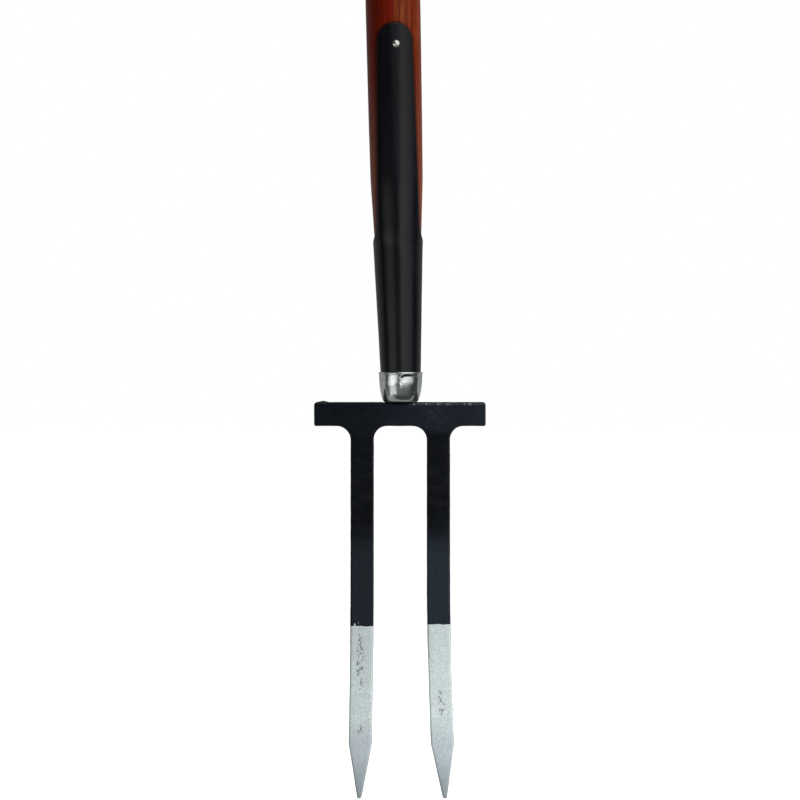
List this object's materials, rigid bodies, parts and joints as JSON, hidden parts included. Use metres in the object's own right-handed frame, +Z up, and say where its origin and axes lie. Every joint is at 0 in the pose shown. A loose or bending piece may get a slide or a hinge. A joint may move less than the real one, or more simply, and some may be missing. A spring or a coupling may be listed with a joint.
{
  "type": "border fork",
  "caption": "Garden border fork: flat steel tines below a straight tread, chromed collar, strapped socket and a wooden shaft with a split D handle.",
  "frame": {"origin": "middle of the box round the fork, at the height of its tine points", "axes": "+Z up from the points to the grip, -Y towards the front, where the tines bend, +X to the right seen from the front"},
  "size_m": [0.1347, 0.0642, 0.9846],
  "materials": {
    "black_paint": "semi-matte black paint, silver paint on the lower ends of the tines",
    "chrome": "bright plated",
    "satin_black": "satin black paint",
    "forged_steel": "bare forged steel",
    "plain_steel": "bare steel",
    "bright_steel": "polished rivet steel",
    "zinc_steel": "zinc plated",
    "lacquered_wood": "red-brown lacquer"
  },
  "bodies": {
    "root": {"fork_head": "black_paint", "tang": "forged_steel", "collar": "chrome", "socket_plug": "plain_steel", "socket": "satin_black", "strap_rivet": "bright_steel", "shaft": "lacquered_wood", "grip": "lacquered_wood", "grip_rod": "zinc_steel", "grip_washer_left": "zinc_steel", "grip_washer_right": "zinc_steel", "crotch_rivet": "zinc_steel", "crotch_washer_left": "zinc_steel", "crotch_washer_right": "zinc_steel"}
  },
  "joints": []
}
